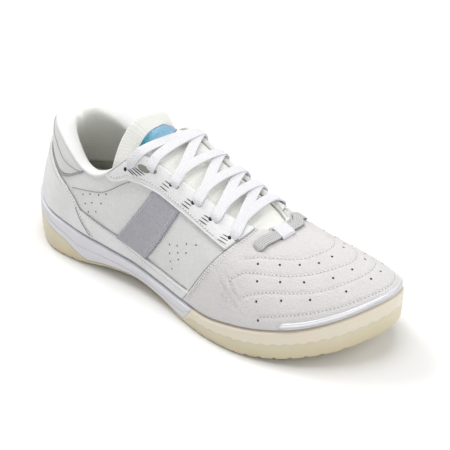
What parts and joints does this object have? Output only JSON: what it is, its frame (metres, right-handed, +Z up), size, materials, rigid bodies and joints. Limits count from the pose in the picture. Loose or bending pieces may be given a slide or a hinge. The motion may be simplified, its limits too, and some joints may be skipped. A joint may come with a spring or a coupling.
{
  "type": "indoor soccer shoe",
  "caption": "Low right indoor soccer shoe: hollow white upper, padded collar, tongue, laces, gum cup sole with white midsole.",
  "frame": {"origin": "on the floor, under the middle of the shoe's bounding box", "axes": "+X from heel to toe, -Y to the outer (lateral) side of this right shoe, +Y to the inner side, +Z up"},
  "size_m": [0.29, 0.1078, 0.1148],
  "materials": {
    "gum_rubber": "smooth translucent gum rubber",
    "white_foam": "smooth moulded foam",
    "white_leather": "smooth white leather with a soft sheen",
    "white_suede": "fine white suede",
    "gloss_white": "glossy white rubber strip",
    "grey_leather": "smooth grey leather",
    "cream_lining": "cream mesh lining",
    "white_lace": "flat woven lace",
    "blue_sheen": "smooth blue sheen patch",
    "grey_webbing": "ribbed grey webbing"
  },
  "bodies": {
    "root": {"outsole": "gum_rubber", "midsole": "white_foam", "insole": "cream_lining", "upper": "white_leather", "vamp": "white_suede", "toe_guard": "gloss_white", "heel_counter": "white_leather", "foxing_lateral": "white_leather", "foxing_medial": "white_leather", "eyestay_lateral": "white_leather", "eyestay_medial": "white_leather", "side_band_lateral": "grey_leather", "side_band_medial": "grey_leather", "collar_pad": "cream_lining", "tongue": "cream_lining", "tongue_patch": "blue_sheen", "laces": "white_lace", "webbing_strap": "grey_webbing", "loop_tab": "white_lace"}
  },
  "joints": []
}
